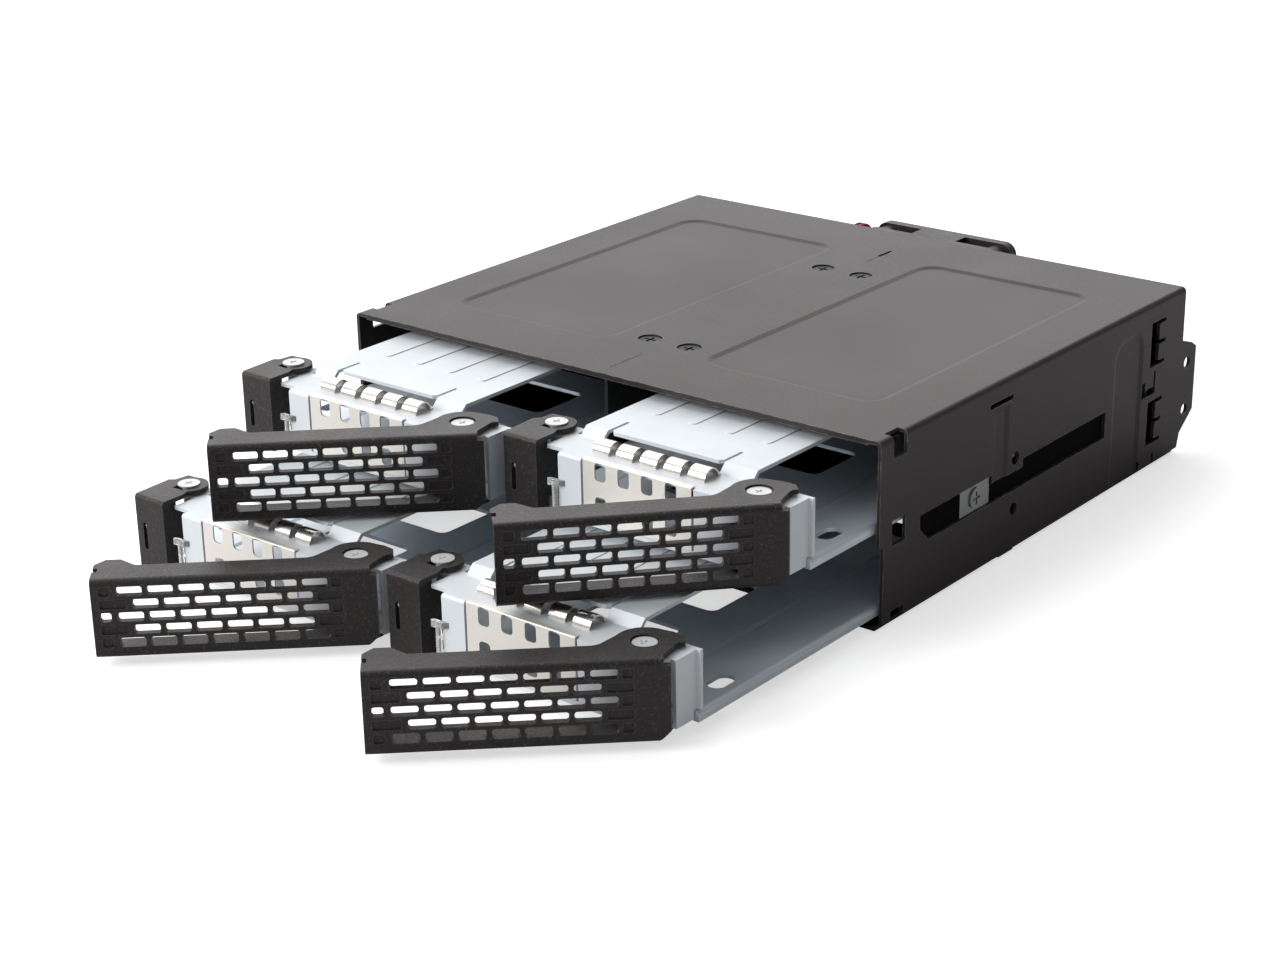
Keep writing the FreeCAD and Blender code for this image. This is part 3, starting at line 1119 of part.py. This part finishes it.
doc.recompute()
faults = []
for item in doc.Objects:
    if "Invalid" in item.State or "Error" in item.State:
        faults.append("%s: %s" % (item.Name, item.State))
    if item.TypeId == "PartDesign::Pocket" and item.BaseFeature is not None:
        if item.Shape.Volume > item.BaseFeature.Shape.Volume - 1e-6:
            faults.append("%s removes nothing" % item.Name)
for item in subparts:
    if item.Shape.isNull() or not item.Shape.isValid():
        faults.append("%s has no valid shape" % item.Label)
if faults:
    raise RuntimeError("; ".join(faults))

os.makedirs("parts", exist_ok=True)
for item in subparts:
    item.Shape.exportStep("parts/%s.step" % item.Label)
    print(item.Label, len(item.Shape.Solids), round(item.Shape.Volume, 2))
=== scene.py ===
import json
import math

import bmesh
import bpy
from mathutils import Matrix, Vector


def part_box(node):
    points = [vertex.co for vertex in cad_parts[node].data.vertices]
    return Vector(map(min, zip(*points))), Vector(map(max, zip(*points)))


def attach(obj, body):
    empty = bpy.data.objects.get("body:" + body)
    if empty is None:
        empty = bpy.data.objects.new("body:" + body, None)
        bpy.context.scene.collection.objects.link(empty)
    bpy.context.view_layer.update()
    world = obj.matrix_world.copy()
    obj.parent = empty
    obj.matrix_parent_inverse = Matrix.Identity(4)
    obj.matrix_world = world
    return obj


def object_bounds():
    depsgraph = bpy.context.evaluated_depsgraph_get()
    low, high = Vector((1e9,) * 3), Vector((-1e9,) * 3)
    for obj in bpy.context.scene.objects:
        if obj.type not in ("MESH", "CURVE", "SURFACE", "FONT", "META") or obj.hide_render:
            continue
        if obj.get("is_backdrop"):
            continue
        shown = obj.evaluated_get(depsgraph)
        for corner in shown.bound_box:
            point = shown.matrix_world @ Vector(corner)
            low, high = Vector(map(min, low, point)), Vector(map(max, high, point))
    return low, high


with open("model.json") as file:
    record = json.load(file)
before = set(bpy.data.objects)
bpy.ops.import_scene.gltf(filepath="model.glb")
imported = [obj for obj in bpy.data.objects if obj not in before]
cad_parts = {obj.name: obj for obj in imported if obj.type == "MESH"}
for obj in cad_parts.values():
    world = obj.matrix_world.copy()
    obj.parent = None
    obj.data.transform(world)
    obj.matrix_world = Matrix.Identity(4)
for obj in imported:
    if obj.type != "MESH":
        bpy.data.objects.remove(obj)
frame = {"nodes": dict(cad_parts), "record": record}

cad_low, cad_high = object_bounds()

MM = 0.001
TRAYS = ("upper_right", "upper_left", "lower_right", "lower_left")
WHITE = (1.0, 1.0, 1.0, 1.0)
scene = bpy.context.scene


# Shader building

# Sockets of the Mix node when it mixes colours
MIX_SHARE, MIX_FIRST, MIX_SECOND, MIX_RESULT = 0, 6, 7, 2

# The limits of a Map Range node among its inputs, after the value itself
RANGE_LIMITS = slice(1, 5)

# Most values of a noise lie in this band
NOISE_BAND = (0.3, 0.7)

# Product of the true and the rounded normal where an edge begins and where it is full
EDGE_BAND = (0.97, 0.80)
EDGE_SAMPLES = 4

# From nothing to all
FULL = (0.0, 1.0)


def scaled(values, factor, lift=0.0):
    """A colour made brighter or darker, or a size in other units."""
    return tuple(value * factor + lift for value in values)


def set_limits(node, band, to):
    """Sets the ranges of a Map Range node."""
    for socket, number in zip(list(node.inputs)[RANGE_LIMITS], (*band, *to)):
        socket.default_value = number


class Shader:
    """A material made of nodes, with short calls for the patterns that the finishes share."""

    def __init__(self, name):
        self.material = bpy.data.materials.new(name)
        self.material.use_nodes = True
        self.nodes = self.material.node_tree.nodes
        self.links = self.material.node_tree.links
        self.nodes.clear()
        self.output = self.nodes.new("ShaderNodeOutputMaterial")
        self.surface = self.nodes.new("ShaderNodeBsdfPrincipled")
        self.links.new(self.surface.outputs["BSDF"], self.output.inputs["Surface"])
        self.place = self.nodes.new("ShaderNodeTexCoord").outputs["Object"]

    def put(self, socket, value):
        """Sets a socket to a number or an opaque colour, or joins it to another socket."""
        if isinstance(value, bpy.types.NodeSocket):
            self.links.new(value, socket)
        elif isinstance(value, tuple):
            socket.default_value = (*value, 1.0)
        else:
            socket.default_value = value

    def set(self, **values):
        """Sets inputs of the surface, named with underscores for spaces."""
        for name, value in values.items():
            self.put(self.surface.inputs[name.replace("_", " ")], value)

    def stretched(self, x, y, z):
        """The object's coordinates, scaled along each axis."""
        node = self.nodes.new("ShaderNodeMapping")
        node.inputs["Scale"].default_value = (x, y, z)
        self.links.new(self.place, node.inputs["Vector"])
        return node.outputs["Vector"]

    def noise(self, scale, detail=3.0, roughness=0.5, where=None):
        """Soft random clouds; a larger scale makes them finer."""
        node = self.nodes.new("ShaderNodeTexNoise")
        node.inputs["Scale"].default_value = scale
        node.inputs["Detail"].default_value = detail
        node.inputs["Roughness"].default_value = roughness
        self.links.new(where or self.place, node.inputs["Vector"])
        return node.outputs["Fac"]

    def cells(self, scale):
        """Random flat patches with sharp borders."""
        node = self.nodes.new("ShaderNodeTexVoronoi")
        node.inputs["Scale"].default_value = scale
        self.links.new(self.place, node.inputs["Vector"])
        return node.outputs["Color"]

    def remap(self, value, band, to):
        """Carries the values of a band over to another range and cuts off the rest."""
        node = self.nodes.new("ShaderNodeMapRange")
        set_limits(node, band, to)
        self.put(node.inputs[0], value)
        return node.outputs[0]

    def around(self, value, middle, less, more, band=NOISE_BAND):
        """A middle number that the value shifts down or up a little, for an uneven roughness."""
        return self.remap(value, band, (middle - less, middle + more))

    def calculate(self, operation, a, b):
        node = self.nodes.new("ShaderNodeMath")
        node.operation = operation
        self.put(node.inputs[0], a)
        self.put(node.inputs[1], b)
        return node.outputs[0]

    def mix(self, share, a, b):
        node = self.nodes.new("ShaderNodeMix")
        node.data_type = "RGBA"
        self.put(node.inputs[MIX_SHARE], share)
        self.put(node.inputs[MIX_FIRST], a)
        self.put(node.inputs[MIX_SECOND], b)
        return node.outputs[MIX_RESULT]

    def edges(self, width):
        """0 on flat ground, rising to 1 on edges, from the rounded normal."""
        bevel = self.nodes.new("ShaderNodeBevel")
        bevel.samples = EDGE_SAMPLES
        bevel.inputs["Radius"].default_value = width
        plain = self.nodes.new("ShaderNodeNewGeometry")
        product = self.nodes.new("ShaderNodeVectorMath")
        product.operation = "DOT_PRODUCT"
        self.links.new(bevel.outputs["Normal"], product.inputs[0])
        self.links.new(plain.outputs["Normal"], product.inputs[1])
        return self.remap(product.outputs["Value"], EDGE_BAND, FULL)

    def lighten_edges(self, shade, edge_tone, width, share):
        """Mixes a lighter colour in along the edges, by the given share: a painted highlight, which in the
        powder coat also stands for rubbed patches.
        """
        return self.mix(self.calculate("MULTIPLY", self.edges(width), share), shade, edge_tone)

    def bump(self, height, distance, strength):
        node = self.nodes.new("ShaderNodeBump")
        node.inputs["Strength"].default_value = strength
        node.inputs["Distance"].default_value = distance
        self.put(node.inputs["Height"], height)
        self.links.new(node.outputs["Normal"], self.surface.inputs["Normal"])


# Finishes

def powder_coat(name, colour, worn_and_highlight, roughness):
    """A fine orange-peel coat with slight clouding, faint scuffs, and lighter edges that are partly rubbed
    patches and partly a painted highlight.
    """
    s = Shader(name)
    cloud = s.noise(scale=26.0, detail=4.0)
    grain = s.noise(scale=4200.0, detail=2.0)
    scuff = s.noise(scale=30.0, detail=6.0, roughness=0.75, where=s.stretched(1.0, 9.0, 1.0))
    # The share of the lighter edge colour, in patches: rubbing and a painted highlight together.
    wear_and_highlight_share = s.remap(s.noise(scale=380.0), band=(0.40, 0.62), to=(0.10, 0.85))
    shade = s.mix(s.remap(cloud, NOISE_BAND, FULL), colour, scaled(colour, 1.15))
    shade = s.mix(s.remap(scuff, band=(0.62, 0.80), to=(0.0, 0.25)), shade, scaled(colour, 1.4, lift=0.003))
    # Lighter edges: a painted highlight along the edges, broken into rubbed patches.
    shade = s.lighten_edges(shade, worn_and_highlight, width=0.4 * MM, share=wear_and_highlight_share)
    mottle = s.calculate("ADD", grain, s.calculate("MULTIPLY", cloud, 0.5))
    s.set(Base_Color=shade, Roughness=s.around(mottle, roughness, less=0.05, more=0.07, band=(0.5, 1.0)),
          Specular_IOR_Level=0.27, Specular_Tint=(1.0, 0.93, 0.92))
    s.bump(grain, distance=0.010 * MM, strength=0.6)
    return s.material


def moulded(name, colour, roughness, fineness, depth, painted_glint):
    """Black moulding or casting with a sandy grain; the tips of the grain get a painted glint, a lighter
    colour, and a lower roughness, and the edges get a painted highlight.
    """
    s = Shader(name)
    grain = s.noise(scale=fineness, detail=2.0, roughness=0.6)
    coarse = s.noise(scale=fineness * 0.45, detail=1.0)
    relief = s.calculate("ADD", grain, s.calculate("MULTIPLY", coarse, 0.5))
    # Painted glint: the tips of the grain are coloured lighter, as if they caught the light, and made a
    # little glossier.
    tips = s.remap(relief, band=(0.85, 0.98), to=(0.0, painted_glint))
    shade = s.mix(tips, colour, scaled(colour, 3.0, lift=0.030))
    # Painted highlight: a lighter colour along the edges.
    shade = s.lighten_edges(shade, (0.11, 0.10, 0.10), width=0.3 * MM, share=0.6)
    dull = s.around(s.noise(scale=60.0), roughness, less=0.04, more=0.06)
    s.set(Base_Color=shade, Roughness=s.calculate("SUBTRACT", dull, s.calculate("MULTIPLY", tips, 0.12)),
          Specular_IOR_Level=0.42, Specular_Tint=(1.0, 0.94, 0.93))
    s.bump(relief, depth, strength=1.0)
    return s.material


def galvanised(name, colour, metal, roughness=0.34, spangle=0.15):
    """Zinc coated sheet: faint spangle, rolling lines, dull patches, and a painted highlight, a brighter
    colour along the edges.
    """
    s = Shader(name)
    rolled = s.noise(scale=9.0, detail=5.0, roughness=0.7, where=s.stretched(90.0, 4.0, 90.0))
    smears = s.noise(scale=34.0, detail=4.0, roughness=0.6)
    flakes = s.calculate("MULTIPLY", s.cells(scale=330.0), spangle)
    tone = s.mix(s.remap(smears, band=(0.35, 0.7), to=(0.0, 0.55)), colour, scaled(colour, 0.86))
    tone = s.mix(flakes, tone, scaled(colour, 1.12))
    # Painted highlight: a brighter colour along the edges.
    tone = s.lighten_edges(tone, (0.90, 0.91, 0.92), width=0.25 * MM, share=0.4)
    s.set(Base_Color=tone, Metallic=metal,
          Roughness=s.around(rolled, roughness, less=0.06, more=0.1, band=(0.25, 0.75)))
    s.bump(rolled, distance=0.005 * MM, strength=0.5)
    return s.material


def bright_metal(name, colour, roughness, wave=0.05 * MM):
    """Plated or uncoated spring metal with fine brushing, soft waves of the sheet, and a painted highlight
    along the edges.
    """
    s = Shader(name)
    brushed = s.noise(scale=170.0, detail=4.0, roughness=0.7, where=s.stretched(1.0, 1.0, 14.0))
    waves = s.noise(scale=70.0, detail=1.0, roughness=0.3)
    tone = s.mix(s.remap(waves, band=(0.35, 0.7), to=(0.0, 0.5)), colour, scaled(colour, 0.86))
    # Painted highlight: a bright colour along the edges.
    tone = s.lighten_edges(tone, (0.96, 0.94, 0.90), width=0.12 * MM, share=0.6)
    s.set(Base_Color=tone, Metallic=1.0, Roughness=s.around(brushed, roughness, less=0.05, more=0.09))
    s.bump(waves, wave, strength=0.5)
    return s.material


def dark_coat(name, colour, roughness, gloss=0.3):
    """Thin dark coat of the inner sheets, the rails and the top's screws."""
    s = Shader(name)
    grain = s.noise(scale=3600.0, detail=2.0)
    cloud = s.noise(scale=40.0, detail=4.0)
    shade = s.mix(s.remap(cloud, NOISE_BAND, FULL), colour, scaled(colour, 1.3))
    # Painted highlight: a colour eight times as bright along the edges.
    shade = s.lighten_edges(shade, scaled(colour, 8.0), width=0.25 * MM, share=0.6)
    s.set(Base_Color=shade, Roughness=s.around(grain, roughness, less=0.06, more=0.08),
          Specular_IOR_Level=gloss)
    s.bump(grain, distance=0.010 * MM, strength=0.5)
    return s.material


def light_guide(name):
    """Frosted clear plastic."""
    s = Shader(name)
    frost = s.noise(scale=900.0, detail=2.0)
    s.set(Base_Color=s.mix(frost, (0.97, 0.97, 0.95), (0.92, 0.93, 0.92)),
          Roughness=s.remap(frost, NOISE_BAND, to=(0.06, 0.16)),
          Transmission_Weight=0.75, IOR=1.49)
    s.bump(frost, distance=0.006 * MM, strength=0.4)
    return s.material


def circuit_board(name):
    """Green solder mask with a faint net of tracks."""
    s = Shader(name)
    tracks = s.noise(scale=260.0, detail=1.0, roughness=0.4, where=s.stretched(6.0, 1.0, 1.0))
    weave = s.noise(scale=2400.0, detail=2.0)
    edge_tone, over_track = (0.008, 0.10, 0.045), (0.014, 0.17, 0.075)
    s.set(Base_Color=s.mix(s.remap(tracks, band=(0.48, 0.52), to=FULL), edge_tone, over_track),
          Roughness=s.remap(weave, NOISE_BAND, to=(0.25, 0.4)))
    s.bump(tracks, distance=0.02 * MM, strength=0.5)
    return s.material


def insulation(name, colour):
    """Soft sleeve of a lead."""
    s = Shader(name)
    grain = s.noise(scale=1500.0, detail=2.0)
    s.set(Base_Color=s.mix(grain, colour, scaled(colour, 0.7)),
          Roughness=s.remap(grain, NOISE_BAND, to=(0.35, 0.5)))
    s.bump(grain, distance=0.01 * MM, strength=0.4)
    return s.material


FINISH = {
    "coat_grey": powder_coat("coat_grey", (0.0252, 0.0212, 0.0208), worn_and_highlight=(0.24, 0.23, 0.22),
                             roughness=0.42),
    "zinc": galvanised("zinc", (0.64, 0.70, 0.76), metal=0.35),
    "pale_sheet": galvanised("pale_sheet", (0.70, 0.735, 0.765), metal=0.15, roughness=0.50, spangle=0.09),
    "spring_sheet": galvanised("spring_sheet", (0.80, 0.765, 0.71), metal=0.4, spangle=0.06),
    "screw_steel": galvanised("screw_steel", (0.62, 0.63, 0.64), metal=0.3, spangle=0.0),
    "finger_steel": bright_metal("finger_steel", (0.60, 0.57, 0.53), roughness=0.16),
    "clip_steel": bright_metal("clip_steel", (0.30, 0.305, 0.31), roughness=0.30),
    "dark_sheet": dark_coat("dark_sheet", (0.012, 0.0115, 0.0115), roughness=0.5),
    "rail_black": dark_coat("rail_black", (0.0035, 0.0033, 0.0034), roughness=0.85, gloss=0.05),
    "screw_black": dark_coat("screw_black", (0.006, 0.0055, 0.0055), roughness=0.45),
    "black_cast": moulded("black_cast", (0.0085, 0.0072, 0.0070), roughness=0.40, fineness=3200.0,
                          depth=0.13 * MM, painted_glint=1.0),
    "black_plastic": moulded("black_plastic", (0.0090, 0.0076, 0.0073), roughness=0.41, fineness=3200.0,
                             depth=0.12 * MM, painted_glint=0.9),
    "connector_black": moulded("connector_black", (0.010, 0.010, 0.010), roughness=0.36, fineness=1200.0,
                               depth=0.004 * MM, painted_glint=0.2),
    "clear_pipe": light_guide("clear_pipe"),
    "board_green": circuit_board("board_green"),
    "lead_red": insulation("lead_red", (0.62, 0.03, 0.02)),
    "lead_black": insulation("lead_black", (0.02, 0.02, 0.02)),
}


# CAD nodes: finish and soft edges

# Edges sharper than this are rounded
SHARP = math.radians(50)
ROUNDING_STEPS = 2

# Width of the rounding in mm by material slot; nodes of the other slots stay as cut
EDGE = {"coat_grey": 0.12, "black_cast": 0.25, "black_plastic": 0.25, "zinc": 0.12, "pale_sheet": 0.12,
        "dark_sheet": 0.1, "screw_steel": 0.1, "screw_black": 0.1, "clip_steel": 0.08,
        "connector_black": 0.15}

# Nodes, by the start of their names, whose finish differs from the rest of their slot
# The rails get a near-black matte finish of their own, which keeps what is seen behind the side slots dark.
OWN_FINISH = {"rail_": "rail_black", "clip_screws": "clip_steel", "fingers_": "finger_steel"}


def soften(piece, width):
    """Rounds the sharp edges of a hard piece a little, so that they catch the light."""
    bevel = piece.modifiers.new("edge", "BEVEL")
    bevel.width = width
    bevel.segments = ROUNDING_STEPS
    bevel.limit_method = "ANGLE"
    bevel.angle_limit = SHARP
    bevel.harden_normals = False
    bevel.use_clamp_overlap = True


for entry in frame["record"]["subparts"]:
    name, slot = entry["node"], entry["material_slot"]
    node = frame["nodes"][name]
    node.data.materials.clear()
    finish = next((own for start, own in OWN_FINISH.items() if name.startswith(start)), slot)
    node.data.materials.append(FINISH[finish])
    if slot in EDGE:
        soften(node, EDGE[slot] * MM)


# Lamp lenses behind the buttons' slots

# Centre from the low corner of the button's box, and half sizes, in mm
LENS_PLACE = (3.0, 1.15, 10.05)
LENS_RADII = (0.61, 0.7, 0.8)
LENS_RINGS = 8
LENS_STEPS = 16


def lens(name, centre, radii):
    """A small domed lens that bulges towards the front."""
    mesh = bpy.data.meshes.new(name)
    shell = bmesh.new()
    rows = []
    for i in range(LENS_RINGS):
        lift = math.pi / 2 * i / LENS_RINGS
        rows.append([shell.verts.new((centre[0] + radii[0] * math.cos(lift) * math.cos(turn),
                                      centre[1] - radii[1] * math.sin(lift),
                                      centre[2] + radii[2] * math.cos(lift) * math.sin(turn)))
                     for turn in (2 * math.pi * k / LENS_STEPS for k in range(LENS_STEPS))])
    tip = shell.verts.new((centre[0], centre[1] - radii[1], centre[2]))
    for near, far in zip(rows, rows[1:]):
        for k in range(LENS_STEPS):
            after = (k + 1) % LENS_STEPS
            shell.faces.new((near[k], near[after], far[after], far[k]))
    for k in range(LENS_STEPS):
        shell.faces.new((rows[-1][k], rows[-1][(k + 1) % LENS_STEPS], tip))
    shell.faces.new(rows[0][::-1])
    for face in shell.faces:
        face.smooth = True
    bmesh.ops.recalc_face_normals(shell, faces=shell.faces)
    shell.to_mesh(mesh)
    shell.free()
    piece = bpy.data.objects.new(name, mesh)
    scene.collection.objects.link(piece)
    return piece


for tray in TRAYS:
    low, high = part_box("button_" + tray)
    centre = tuple(corner + step * MM for corner, step in zip(low, LENS_PLACE))
    bulb = lens("led_lens_" + tray, centre, scaled(LENS_RADII, MM))
    bulb.data.materials.append(FINISH["clear_pipe"])
    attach(bulb, "button_" + tray)


# Floor, light and camera

FLOOR_SHADE = 0.70
FLOOR_GLOW = 0.60
FLOOR_REACH = 6.0
FLOOR_GAP = 0.2 * MM

# The room is darker on the right, which gives the bright sheets their shading
ROOM_BAND = (-0.3, 0.75)
ROOM_LIGHT = (0.80, 0.12)


def pale_floor():
    """A pale floor that glows a little where it is seen directly or through clear plastic."""
    s = Shader("floor")
    s.set(Base_Color=(FLOOR_SHADE, FLOOR_SHADE, FLOOR_SHADE), Roughness=0.9)
    glow = s.nodes.new("ShaderNodeEmission")
    glow.inputs["Color"].default_value = WHITE
    path = s.nodes.new("ShaderNodeLightPath")
    seen = s.calculate("MAXIMUM", path.outputs["Is Camera Ray"], path.outputs["Is Transmission Ray"])
    s.links.new(s.calculate("MULTIPLY", seen, FLOOR_GLOW), glow.inputs["Strength"])
    both = s.nodes.new("ShaderNodeAddShader")
    s.links.new(s.surface.outputs["BSDF"], both.inputs[0])
    s.links.new(glow.outputs["Emission"], both.inputs[1])
    s.links.new(both.outputs["Shader"], s.output.inputs["Surface"])

    mesh = bpy.data.meshes.new("floor")
    corners = [(x * FLOOR_REACH, y * FLOOR_REACH, 0) for x, y in ((-1, -1), (1, -1), (1, 1), (-1, 1))]
    mesh.from_pydata(corners, [], [(0, 1, 2, 3)])
    mesh.materials.append(s.material)
    floor = bpy.data.objects.new("floor", mesh)
    floor.location.z = cad_low.z - FLOOR_GAP
    scene.collection.objects.link(floor)
    floor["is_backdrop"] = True


def surround():
    """A white room whose light fades from left to right."""
    world = bpy.data.worlds.new("surround")
    world.use_nodes = True
    tree = world.node_tree
    background = tree.nodes["Background"]
    background.inputs["Color"].default_value = WHITE
    heading = tree.nodes.new("ShaderNodeTexCoord")
    split = tree.nodes.new("ShaderNodeSeparateXYZ")
    fade = tree.nodes.new("ShaderNodeMapRange")
    set_limits(fade, ROOM_BAND, ROOM_LIGHT)
    tree.links.new(heading.outputs["Generated"], split.inputs[0])
    tree.links.new(split.outputs["X"], fade.inputs[0])
    tree.links.new(fade.outputs[0], background.inputs["Strength"])
    scene.world = world


def lamp(name, place, aim, size, power):
    """A soft rectangular lamp; places and sizes in metres, power in watts."""
    data = bpy.data.lights.new(name, "AREA")
    data.shape = "RECTANGLE"
    data.size, data.size_y = size
    data.energy = power
    holder = bpy.data.objects.new(name, data)
    holder.location = place
    holder.rotation_euler = (Vector(aim) - Vector(place)).to_track_quat("-Z", "Y").to_euler()
    scene.collection.objects.link(holder)


def photo_camera():
    """The camera solved from the bay's standard sizes, for a 1280 by 960 frame."""
    focal_px, frame_px, sensor = 2487.5, 1280.0, 36.0
    place = Vector((326.6, -387.6, 215.6)) * MM
    yaw, pitch, roll = (math.radians(a) for a in (39.140, 21.476, -1.002))
    ahead = Vector((-math.sin(yaw) * math.cos(pitch), math.cos(yaw) * math.cos(pitch), -math.sin(pitch)))
    level = Vector((math.cos(yaw), math.sin(yaw), 0))
    above = level.cross(ahead)
    right = math.cos(roll) * level + math.sin(roll) * above
    up = -math.sin(roll) * level + math.cos(roll) * above
    data = bpy.data.cameras.new("camera")
    data.sensor_width = sensor
    data.lens = focal_px / frame_px * sensor
    data.clip_start, data.clip_end = 0.05, 20.0
    camera = bpy.data.objects.new("camera", data)
    turn = Matrix((right, up, -ahead)).transposed().to_4x4()
    camera.matrix_world = Matrix.Translation(place) @ turn
    scene.collection.objects.link(camera)
    scene.camera = camera


pale_floor()
surround()
lamp("overhead", place=(-0.75, 0.1, 1.1), aim=(0, 0, 0), size=(1.0, 1.0), power=6.0)
lamp("behind", place=(-0.95, 1.2, 0.75), aim=(0, 0.06, 0.04), size=(1.8, 1.2), power=7.5)
lamp("front", place=(-0.7, -1.2, 0.75), aim=(0, -0.05, 0.02), size=(1.0, 0.8), power=17.0)
photo_camera()
scene.view_settings.view_transform = "Standard"

low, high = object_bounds()
